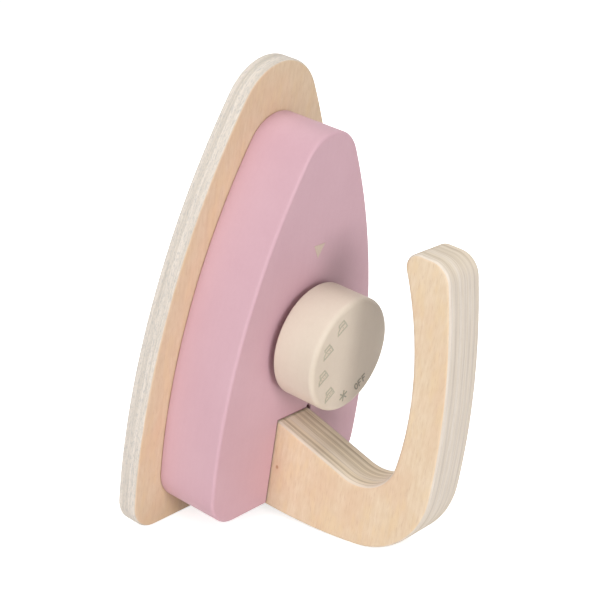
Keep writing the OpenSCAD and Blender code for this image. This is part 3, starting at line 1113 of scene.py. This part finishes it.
@dataclass(frozen=True)
class SatinPaint(Finish):
    """Satin paint over wood: even colour, with a trace of the roller and of the grain below.

    Where a slot is given, as half its width and its end in mm, its edge and walls get a dark painted shadow
    of the gap round the handle.
    """

    colour: Colour
    deep: Colour
    slot: Optional[Spot] = None
    # Colour, width and strength of the painted shadow along the slot's edge
    slot_shadow: Colour = srgb(112, 72, 70)
    slot_shadow_width: Spot = (0.1, 0.5)
    slot_shadow_share: float = 0.85
    grain: Grain = Grain(0.05, 0.9)

    def inputs(self, tree: Tree) -> dict[str, Any]:
        """Slightly uneven paint.

        Args:
            tree: The material's tree.

        Returns:
            Values and links of the shader's inputs.
        """
        place = WoodSpace(tree).coordinates()
        x, y, z = tree.parts(place)
        cloud, roller = tree.noise(place, 0.045, 3.0), tree.noise(place, 0.9, 3.0)
        grain = self.grain.seen(tree, (x, y, z))
        tint = shade(0.4, (cloud, 1.1), (roller, 0.35), (grain, 0.35))
        colour = tree.blend(tint, self.colour, self.deep)
        if self.slot:
            half, end = self.slot
            beyond = abs((abs(x) - half).larger(y - end))
            # Painted shadow: darkens the paint along the slot's edge, where the gap round the handle lies in
            # shade
            colour = tree.blend((1.0 - beyond.smooth(*self.slot_shadow_width)) * self.slot_shadow_share, colour, self.slot_shadow)
        return {
            "Base Color": colour,
            "Roughness": 0.45 + 0.14 * roller,
            "Normal": self.bump(tree, roller * 0.6 + grain * 0.4, 0.03, 0.35),
            "Coat Weight": 0.04 + 0.06 * cloud,
            "Coat Roughness": 0.3,
            "Specular IOR Level": 0.35,
        }


@dataclass(frozen=True)
class PadPrint(Finish):
    """Thin printed ink that lets a little of the paint show through."""

    ink: Colour
    thin: Colour

    def inputs(self, tree: Tree) -> dict[str, Any]:
        """Ink of uneven strength.

        Args:
            tree: The material's tree.

        Returns:
            Values and links of the shader's inputs.
        """
        grit = tree.noise(WoodSpace(tree).coordinates(), 3.4, 3.0)
        return {
            "Base Color": tree.blend(grit.smooth(0.4, 0.75), self.ink, self.thin),
            "Roughness": 0.5 + 0.15 * grit,
            "Normal": self.bump(tree, grit, 0.01, 0.3),
        }


@dataclass(frozen=True)
class TurnedBeech(Finish):
    """Turned hardwood of plugs, dowels and the spindle, with short dark pores."""

    pale: Colour = srgb(224, 192, 158)
    deep: Colour = srgb(203, 166, 128)
    pore: Colour = srgb(142, 102, 70)
    streak: Grain = Grain(0.06, 0.8)
    pores: Grain = Grain(0.8, 3.6, 1.0, (0.62, 0.7))

    def inputs(self, tree: Tree) -> dict[str, Any]:
        """Grain that runs along the sole's length, with pores.

        Args:
            tree: The material's tree.

        Returns:
            Values and links of the shader's inputs.
        """
        place = WoodSpace(tree).split()
        streak, pores = self.streak.seen(tree, place), self.pores.seen(tree, place)
        colour = tree.blend(streak.smooth(0.3, 0.7), self.pale, self.deep)
        return {
            "Base Color": tree.blend(pores * 0.5, colour, self.pore),
            "Roughness": 0.58 + 0.1 * streak,
            "Normal": self.bump(tree, streak - pores * 0.5, 0.04, 0.5),
        }


@dataclass(frozen=True)
class PressedFelt(Finish):
    """Dense pressed wool with short fibres in every direction."""

    pale: Colour = srgb(104, 101, 98)
    deep: Colour = srgb(58, 56, 54)

    def inputs(self, tree: Tree) -> dict[str, Any]:
        """Fibres and small tufts.

        Args:
            tree: The material's tree.

        Returns:
            Values and links of the shader's inputs.
        """
        place = WoodSpace(tree).coordinates()
        fibres, tufts = tree.noise(place, 4.5, 4.0), tree.noise(place, 0.7, 2.0)
        return {
            "Base Color": tree.blend((fibres * 0.7 + tufts * 0.3).smooth(0.3, 0.7), self.deep, self.pale),
            "Roughness": 0.9 + 0.08 * tufts,
            "Normal": self.bump(tree, fibres, 0.15, 0.8),
            "Sheen Weight": 0.2,
        }


@dataclass(frozen=True)
class ZincSteel(Finish):
    """Zinc-plated steel with faint spangle and tool marks."""

    bright: Colour = (0.62, 0.63, 0.65)
    dull: Colour = (0.42, 0.43, 0.45)

    def inputs(self, tree: Tree) -> dict[str, Any]:
        """Metal of uneven brightness.

        Args:
            tree: The material's tree.

        Returns:
            Values and links of the shader's inputs.
        """
        place = WoodSpace(tree).coordinates()
        spangle = tree.add("ShaderNodeTexVoronoi", None, {"Vector": place, "Scale": 0.9}, "Color")
        scratch = tree.noise(place, 5.0, 3.0)
        tone = tree.add("ShaderNodeRGBToBW", None, {"Color": spangle}) * 0.4 + scratch * 0.6
        return {
            "Base Color": tree.blend(tone.smooth(0.2, 0.8), self.dull, self.bright),
            "Metallic": 1.0,
            "Roughness": 0.26 + 0.2 * tone,
            "Normal": self.bump(tree, scratch, 0.01, 0.3),
        }


# Pieces


def seed_mesh(name: str, rim: Rim, extra: tuple[Spot, ...] = ()) -> bpy.types.Mesh:
    """The points that a tree grows a piece from.

    Args:
        name: The mesh's name.
        rim: Outline points with their outward directions, in mm.
        extra: Further points in the same plane, in mm.

    Returns:
        A mesh of loose points in metres, with the directions in the attribute "outward".
    """
    mesh = bpy.data.meshes.new(name)
    spots = [spot for spot, _ in rim] + list(extra)
    mesh.from_pydata([(x * MM, y * MM, 0.0) for x, y in spots], [], [])
    outward = mesh.attributes.new("outward", "FLOAT_VECTOR", "POINT")
    for item, way in zip(outward.data, [way for _, way in rim] + [(0.0, 0.0)] * len(extra)):
        item.vector = (*way, 0.0)
    return mesh


def turned_piece(
    name: str, section: list[Spot], sides: int, place: Matrix, finish: Finish
) -> bpy.types.Object:
    """Turns a piece from its half section.

    Args:
        name: The piece's name.
        section: Radius and height of each point, in mm.
        sides: The number of sides.
        place: The matrix that carries the piece to its place.
        finish: Its finish.

    Returns:
        The piece.
    """
    mesh = bpy.data.meshes.new(f"{name}_section")
    mesh.from_pydata([(radius * MM, 0.0, height * MM) for radius, height in section], [], [])
    inputs = {"Section points": len(section), "Sides": sides}
    return turned_tree(f"{name}_turning").grow(name, mesh, inputs, place, finish)


@dataclass(frozen=True)
class Edges:
    """Rounding of a slab's lower and upper edges, in mm."""

    lower: float
    upper: float
    steps: int = 8
    margin: float = 0.35

    def inputs(self, points: int, thickness: float) -> dict[str, Any]:
        """Values of a slab tree's common inputs.

        Args:
            points: The number of outline points.
            thickness: The slab's thickness, in mm.

        Returns:
            Values for SLAB_INPUTS, in their order.
        """
        values = (points, self.steps, thickness, self.lower, self.upper, self.margin)
        return dict(zip(SLAB_INPUTS, values))


@dataclass
class Assembly:
    """Pieces that move together, with the frame that they belong to."""

    frame: dict[str, Any]
    body: str = "iron"

    def show(self, piece: bpy.types.Object, node: str, slot: str) -> None:
        """Lets a grown piece stand for a CAD node.

        Args:
            piece: The new piece.
            node: The CAD node that it stands for.
            slot: The record's material slot; not used.
        """
        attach(piece, self.body)
        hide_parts(node)
        LOG.info("%s: %d faces, stands for %s", piece.name, len(piece.data.polygons), node)

    def keep(self, node: str, finish: Finish) -> None:
        """Keeps a CAD node's shape and gives it a finish.

        Args:
            node: The CAD node.
            finish: Its finish.
        """
        for slot in self.frame["nodes"][node].material_slots:
            slot.material = finish.material()
        LOG.info("%s: CAD shape with %s", node, finish.name)


@dataclass
class SolePanel(Assembly):
    """The plywood sole with the plugs, screws and dowels in it."""

    shape: IronShape = IronShape(168.0, 106.0, 27.0, 21.5, 12.5)
    thickness: float = 8.0
    edges: Edges = Edges(1.2, 1.2)
    plug_places: tuple[Spot, ...] = ((-27, 24), (27, 24), (-15, 112), (15, 112), (0, 15), (0, 27))
    plug_r: float = 5.0
    plug_depth: float = 2.6
    plug_gap: float = 0.06
    plug_sunk: float = 0.02

    def build(self) -> None:
        """Builds and dresses the sole's pieces."""
        rim = self.shape.rim()
        values = self.edges.inputs(len(rim), self.thickness)
        values |= {"Hole radius": self.plug_r, "Hole depth": self.plug_depth}
        wood = BirchPly(
            "birch_sole",
            face=srgb(229, 206, 178),
            face_deep=srgb(215, 187, 154),
            face_gold=srgb(231, 205, 167),
            edge=srgb(235, 225, 214),
            end_grain=srgb(208, 197, 180),
            long_end=0.6,
            band_share=0.25,
            fleck_share=0.75,
        )
        outline, place = seed_mesh("sole_outline", rim, self.plug_places), STANDING.matrix()
        panel = drilled_slab_tree("drilled_panel").grow("sole_panel", outline, values, place, wood)
        self.show(panel, "sole_plate", "birch_ply")
        radius, height = self.plug_r - self.plug_gap, self.plug_depth - self.plug_sunk
        plug = {"Plug radius": radius, "Plug height": height}
        spots, place = seed_mesh("plug_points", [], self.plug_places), STANDING.at(0, 0, self.plug_sunk)
        plugs = studded_tree("plug_row").grow("wood_plugs", spots, plug, place, TurnedBeech("beech_plug"))
        self.show(plugs, "sole_plugs", "beech")
        self.keep("plate_dowels", TurnedBeech("beech_dowel"))
        for screws in ("sole_screws", "handle_screws"):
            self.keep(screws, ZincSteel("zinc_screw"))


@dataclass
class PaintedBlock(Assembly):
    """The painted block with the handle's slot, and the pointer printed on it."""

    shape: IronShape = IronShape(141.2, 82.0, 26.0, 15.5, 13.5)
    step: float = 8.8
    base: float = 8.0
    thickness: float = 25.0
    edges: Edges = Edges(0.7, 1.1)
    slot_width: float = 18.6
    slot_end: float = 43.3
    start_radius: float = 0.9
    start_inset: float = 1.4
    bore_place: float = 74.5
    bore_radius: float = 4.06
    recess_radius: float = 12.0
    recess_depth: float = 7.0

    def build(self) -> None:
        """Builds and dresses the block's pieces."""
        rim = self.shape.rim()
        values = self.edges.inputs(len(rim), self.thickness)
        values |= {
            "Slot width": self.slot_width,
            "Slot end": self.slot_end - self.step,
            "Start radius": self.start_radius,
            "Start inset": self.start_inset,
            "Bore place": self.bore_place - self.step,
            "Bore radius": self.bore_radius,
            "Recess radius": self.recess_radius,
            "Recess depth": self.recess_depth,
        }
        place = STANDING.at(0, self.step, self.base)
        # The slot's edge gets a painted shadow of the gap round the handle
        slot = (self.slot_width / 2, self.slot_end)
        paint = SatinPaint("pink_satin", srgb(215, 176, 186), srgb(206, 164, 175), slot=slot)
        outline = seed_mesh("block_outline", rim)
        block = block_tree("slotted_block").grow("pink_block", outline, values, place, paint)
        self.show(block, "body_block", "pink_paint")
        self.keep("pointer_mark", PadPrint("cream_ink", srgb(215, 196, 178), srgb(207, 182, 172)))


@dataclass
class HookHandle(Assembly):
    """The plywood hook handle and the dowel that pins its root."""

    shape: HookShape = HookShape()
    thickness: float = 18.0
    edges: Edges = Edges(1.3, 1.3)
    knots: tuple[Knot, ...] = (Knot(25.3, 35.4, 0.9, 0.7),)

    def build(self) -> None:
        """Builds and dresses the handle's pieces."""
        rim = self.shape.rim()
        upright = Matrix(((0, 0, 1, 0), (1, 0, 0, 0), (0, 1, 0, 0), (0, 0, 0, 1)))
        place = STANDING.at(-self.thickness / 2, 0, 0) @ upright
        values = self.edges.inputs(len(rim), self.thickness)
        wood = BirchPly(
            "birch_handle",
            across=Across.SIDEWAYS,
            near_face=-self.thickness / 2,
            thickness=self.thickness,
            plies=13,
            edge=srgb(236, 225, 213),
            edge_deep=srgb(212, 198, 183),
            # End grain and glue lines stay full and brown up to here, partly as painted shade of the root
            # between block and grip
            root_grain_and_shade_end=70.0,
            knots=self.knots,
        )
        outline = seed_mesh("hook_outline", rim)
        handle = slab_tree("rounded_panel").grow("hook_handle", outline, values, place, wood)
        self.show(handle, "handle", "birch_ply")
        self.keep("handle_dowel", TurnedBeech("beech_dowel"))


@dataclass
class ControlDial(Assembly):
    """The turned dial with its printed signs, and the spindle that holds it."""

    body: str = "dial"
    place: Spot = (0.0, 74.5)
    base: float = 35.45
    radius: float = 21.0
    height: float = 17.4
    chamfer: float = 0.6
    rim_r: float = 1.9
    bore_r: float = 4.0
    bore_depth: float = 11.0
    flat_rim: float = 0.3
    sides: int = 192
    signs: tuple[str, ...] = ("mark_iron_1", "mark_iron_2", "mark_iron_3", "mark_iron_4")

    def section(self) -> list[Spot]:
        """Half section of the knob, from the bore's end round the rim to the middle of its face.

        Returns:
            Radius and height of each point, in mm.
        """
        rim_x, rim_z = self.radius - self.rim_r, self.height - self.rim_r
        rim = [spot for spot, _ in arc((rim_x, rim_z), self.rim_r, 0, 90, 12)]
        return [
            (0.0, self.bore_depth),
            (self.bore_r, self.bore_depth),
            (self.bore_r, 0.0),
            (self.radius - self.chamfer - self.flat_rim, 0.0),
            (self.radius - self.chamfer, 0.0),
            (self.radius, self.chamfer),
            (self.radius, self.chamfer + self.flat_rim),
            (self.radius, rim_z - self.flat_rim),
            *rim,
            (rim_x - 0.4, self.height),
            (0.0, self.height),
        ]

    def build(self) -> None:
        """Builds and dresses the dial's pieces."""
        place = STANDING.at(*self.place, self.base)
        paint = SatinPaint("cream_satin", srgb(226, 213, 196), srgb(216, 201, 183))
        knob = turned_piece("dial_knob", self.section(), self.sides, place, paint)
        self.show(knob, "knob", "cream_paint")
        for sign in self.signs:
            self.keep(sign, PadPrint("grey_ink", srgb(184, 178, 158), srgb(203, 194, 176)))
        self.keep("mark_snowflake", PadPrint("flake_ink", srgb(158, 154, 136), srgb(184, 176, 158)))
        self.keep("mark_off", PadPrint("dark_ink", srgb(144, 138, 122), srgb(172, 164, 146)))
        self.keep("spindle", TurnedBeech("beech_spindle"))
        self.keep("retaining_washer", ZincSteel("zinc_washer"))
        self.keep("spindle_screw", ZincSteel("zinc_screw"))


@dataclass
class FeltSeat(Assembly):
    """The felt ring that the dial turns on."""

    inner: float = 4.3
    outer: float = 13.0
    height: float = 2.2
    soft: float = 0.35
    sides: int = 96
    place: tuple[float, float, float] = (0.0, 74.5, 33.0)

    def build(self) -> None:
        """Builds and dresses the ring."""
        near, far = self.inner + self.soft, self.outer - self.soft
        low, high = self.soft, self.height - self.soft
        corners = ((near, low, 180), (far, low, 270), (far, high, 0), (near, high, 90))
        section: list[Spot] = []
        for x, z, start in corners:
            section += [spot for spot, _ in arc((x, z), self.soft, start, start + 90, 4)]
        section.append(section[0])
        place, felt = STANDING.at(*self.place), PressedFelt("brown_felt")
        self.show(turned_piece("felt_washer", section, self.sides, place, felt), "felt_ring", "felt")


# Studio


@dataclass(frozen=True)
class Lamp:
    """A round soft lamp: its bearing from the handle's side, its height angle, its width and its power."""

    name: str
    bearing: float
    height: float
    size: float
    power: float
    distance: float = 2.6
    target: tuple[float, float, float] = (0.0, 0.0, 0.08)

    def build(self) -> None:
        """Sets the lamp up."""
        light = bpy.data.lights.new(self.name, "AREA")
        light.shape, light.size, light.energy = "DISK", self.size, self.power
        flat = direction(self.bearing)
        reach, rise = direction(self.height)
        offset = Vector((flat[0] * reach, flat[1] * reach, rise)) * self.distance
        lamp = in_scene(self.name, light)
        lamp.location = Vector(self.target) + offset
        lamp.rotation_euler = (-offset).to_track_quat("-Z", "Y").to_euler()


@dataclass
class Studio:
    """Pale floor, soft light and the camera."""

    sensor: float = 36.0
    lens: float = 99.885
    near: float = 0.01
    eye: tuple[float, float, float] = (0.331991, -0.435024, 0.259492)
    right: tuple[float, float, float] = (0.78311, 0.62188, 0.00137)
    down: tuple[float, float, float] = (0.19093, -0.23832, -0.95223)
    forward: tuple[float, float, float] = (-0.59185, 0.74596, -0.30537)
    ambient: float = 0.09
    floor_glow: float = 0.7
    floor_reach: float = 8.0
    floor_fade: Spot = (0.6, 1.8)
    lamps: tuple[Lamp, ...] = (
        Lamp("low_key", -15, 10, 0.9, 22.3),
        Lamp("front", -30, 30, 1.4, 11.2),
        Lamp("left", -90, 12, 1.6, 31.5),
        Lamp("top", 0, 90, 1.6, 27.6),
        Lamp("right", 90, 60, 1.2, 7.6),
        Lamp("back", 180, 25, 1.8, 21.2),
    )

    def camera(self) -> None:
        """Sets the camera up at the photograph's angle."""
        view = bpy.data.cameras.new("view")
        view.sensor_width, view.lens, view.clip_start = self.sensor, self.lens, self.near
        camera = in_scene("view", view)
        columns = (Vector(self.right), -Vector(self.down), -Vector(self.forward))
        camera.matrix_world = Matrix.Translation(self.eye) @ Matrix(columns).transposed().to_4x4()
        bpy.context.scene.camera = camera

    @staticmethod
    def seen_by_camera(tree: Tree) -> Value:
        """1 for camera, glossy and transmission rays."""
        path = tree.add("ShaderNodeLightPath", None, None, "Is Camera Ray")
        return path.larger(path.also("Is Glossy Ray")).larger(path.also("Is Transmission Ray"))

    def world(self) -> None:
        """White behind the object, and an even light from all sides."""
        world = bpy.data.worlds.new("studio")
        tree = emptied_tree(world)
        strength = self.ambient + (1.0 - self.ambient) * self.seen_by_camera(tree)
        air = tree.add("ShaderNodeBackground", None, {"Color": WHITE, "Strength": strength})
        tree.add("ShaderNodeOutputWorld", None, {"Surface": air})
        bpy.context.scene.world = world

    def floor(self) -> None:
        """A wide pale floor that looks white and keeps the object's shadow."""
        mesh = bpy.data.meshes.new("floor")
        far = self.floor_reach
        mesh.from_pydata([(-far, -far, 0), (far, -far, 0), (far, far, 0), (-far, far, 0)], [], [(0, 1, 2, 3)])
        floor = in_scene("floor", mesh)
        paper = bpy.data.materials.new("pale_floor")
        tree = emptied_tree(paper)
        place = tree.add("ShaderNodeTexCoord", None, None, "Object")
        tooth = tree.noise(place, 900.0, 2.0)
        colour = tree.blend(tooth, (0.8, 0.8, 0.8), (0.84, 0.84, 0.84))
        matt = tree.add("ShaderNodeBsdfDiffuse", None, {"Color": colour})
        glow = tree.add("ShaderNodeEmission", None, {"Color": WHITE, "Strength": self.floor_glow})
        lit = tree.add("ShaderNodeAddShader", None, {0: matt, 1: glow})
        white = tree.add("ShaderNodeEmission", None, {"Color": WHITE, "Strength": 1.0})
        away = tree.vector("LENGTH", place, output="Value").smooth(*self.floor_fade)
        lit = tree.add("ShaderNodeMixShader", None, {0: away, 1: lit, 2: white})
        seen = tree.add("ShaderNodeMixShader", None, {0: self.seen_by_camera(tree), 1: matt, 2: lit})
        tree.add("ShaderNodeOutputMaterial", None, {"Surface": seen})
        mesh.materials.append(paper)

    def build(self) -> None:
        """Sets the whole studio up."""
        self.camera()
        self.world()
        self.floor()
        for lamp in self.lamps:
            lamp.build()
        bpy.context.scene.view_settings.view_transform = "Standard"
        LOG.info("studio: camera, floor, world and %d lamps", len(self.lamps))


def main() -> None:
    """Builds the toy iron and its studio."""
    logging.basicConfig(level=logging.INFO, format="%(name)s: %(message)s")
    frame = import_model()
    for kind in (SolePanel, PaintedBlock, HookHandle, FeltSeat, ControlDial):
        part = kind(frame)
        part.build()
        LOG.info("%s is ready", type(part).__name__)
    Studio().build()


if __name__ == "__main__":
    main()
